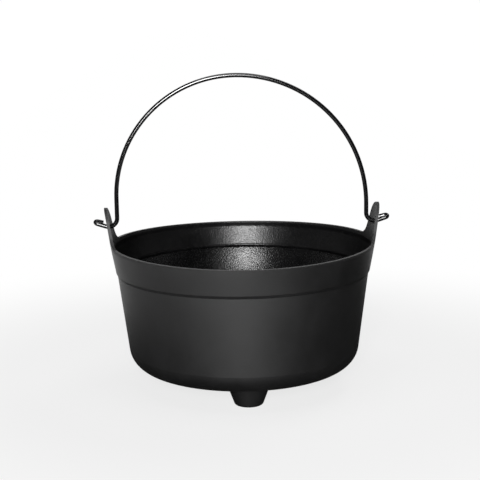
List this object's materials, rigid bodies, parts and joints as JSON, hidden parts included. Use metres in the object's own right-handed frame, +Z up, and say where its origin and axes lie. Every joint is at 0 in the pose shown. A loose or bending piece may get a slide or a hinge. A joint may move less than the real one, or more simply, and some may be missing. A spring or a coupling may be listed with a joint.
{
  "type": "cast iron cauldron",
  "caption": "Round cast iron cauldron on stub feet, with a flared rim band, holed ears and a swinging wire bail handle.",
  "frame": {"origin": "middle of the overall box in X and Y, on the ground plane under the feet", "axes": "+Z up, -Y towards the front foot, +X towards the right ear seen from the front"},
  "size_m": [0.3378, 0.2998, 0.3551],
  "materials": {
    "pot": "satin black, fine sand-cast grain",
    "bail": "gloss black over bent steel wire"
  },
  "bodies": {
    "pot": {"pot": "pot"},
    "bail": {"bail": "bail"}
  },
  "joints": [
    {"name": "bail_swing", "type": "hinge", "parent": "pot", "child": "bail", "pos_m": [0, 0, 0.1847], "axis": [1, 0, 0], "range_deg": [-101.9, 101.9]}
  ]
}
